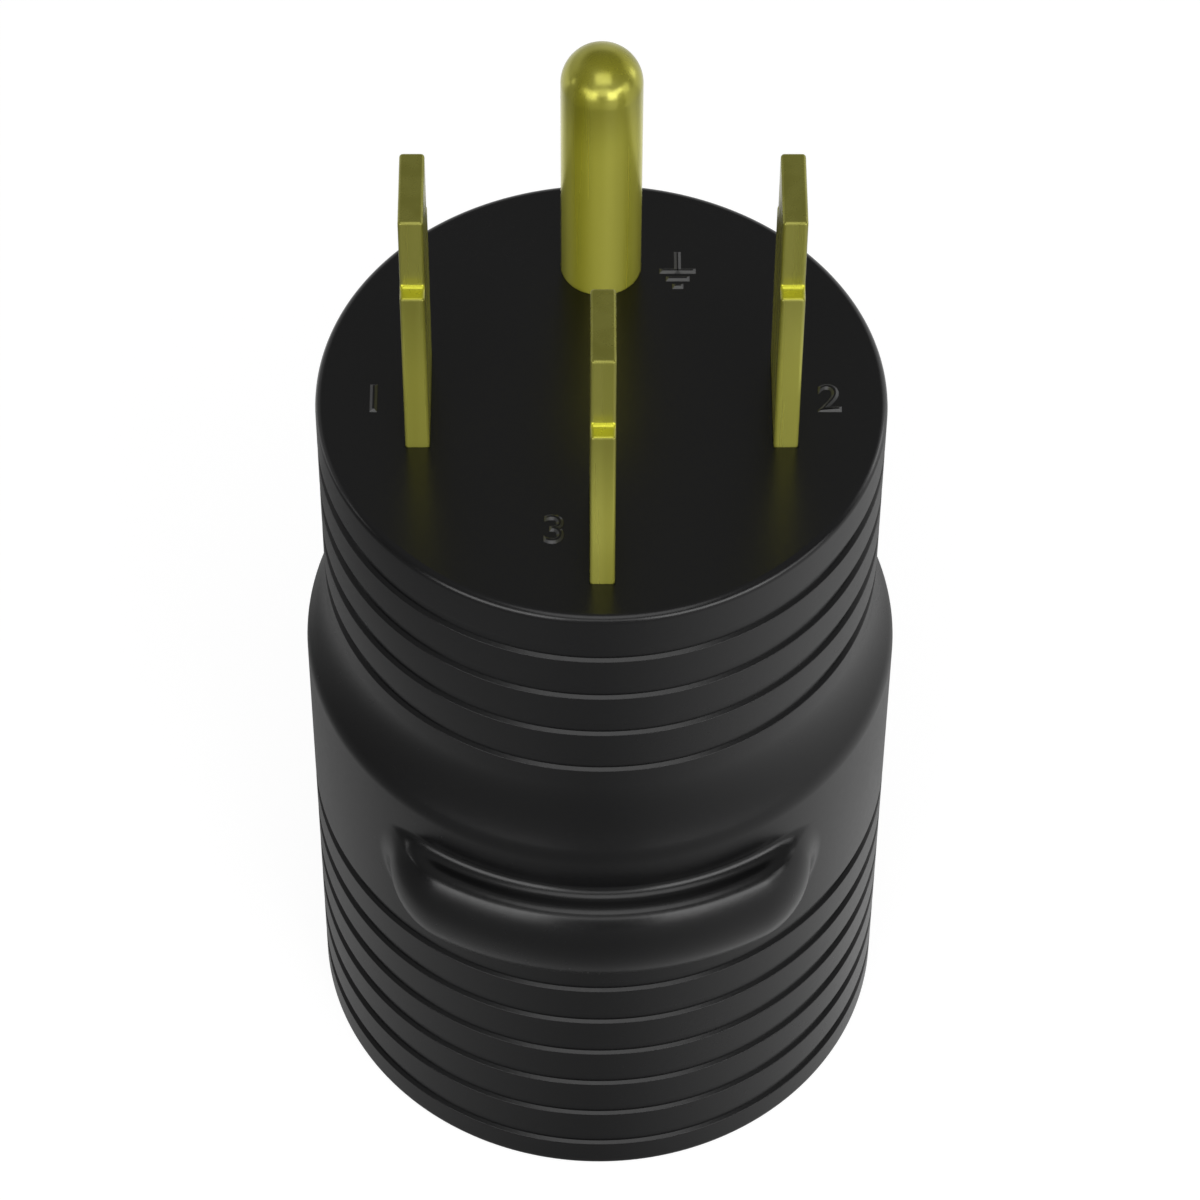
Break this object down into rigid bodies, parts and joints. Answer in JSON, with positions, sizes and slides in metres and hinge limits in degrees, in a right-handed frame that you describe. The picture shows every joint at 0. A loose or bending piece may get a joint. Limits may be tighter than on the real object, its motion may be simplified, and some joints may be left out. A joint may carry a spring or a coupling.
{
  "type": "rv power adapter",
  "caption": "Round moulded power adapter: brass blades and a domed earth pin on a grooved grip with finger lips, and a three-pole socket in its other end.",
  "frame": {"origin": "on the long axis, in the plane of the socket end's rim", "axes": "+Z from the socket end to the blades, -Y at the neutral blade, +Y at the earth pin, X through the two line blades"},
  "size_m": [0.0432, 0.0492, 0.0886],
  "materials": {
    "moulding": "soft black moulding with a satin sheen",
    "carrier": "dark moulded insulator",
    "insert": "black moulded insulator, satin",
    "blade_brass": "bright rolled brass",
    "contact_brass": "bright strip brass",
    "spring_steel": "rolled spring steel",
    "copper": "drawn copper",
    "jacket_black": "smooth wire jacket",
    "jacket_white": "smooth wire jacket",
    "jacket_green": "smooth wire jacket"
  },
  "bodies": {
    "root": {"body": "moulding", "blade_carrier": "carrier", "line_blade": "blade_brass", "spare_line_blade": "blade_brass", "neutral_blade": "blade_brass", "earth_pin": "blade_brass", "socket_insert": "insert", "socket_cover": "insert", "line_contact": "contact_brass", "neutral_contact": "contact_brass", "earth_contact": "contact_brass", "line_spring_band": "spring_steel", "neutral_spring_band": "spring_steel", "earth_spring_band": "spring_steel", "line_wire_core": "copper", "neutral_wire_core": "copper", "earth_wire_core": "copper", "line_wire_jacket": "jacket_black", "neutral_wire_jacket": "jacket_white", "earth_wire_jacket": "jacket_green"}
  },
  "joints": []
}
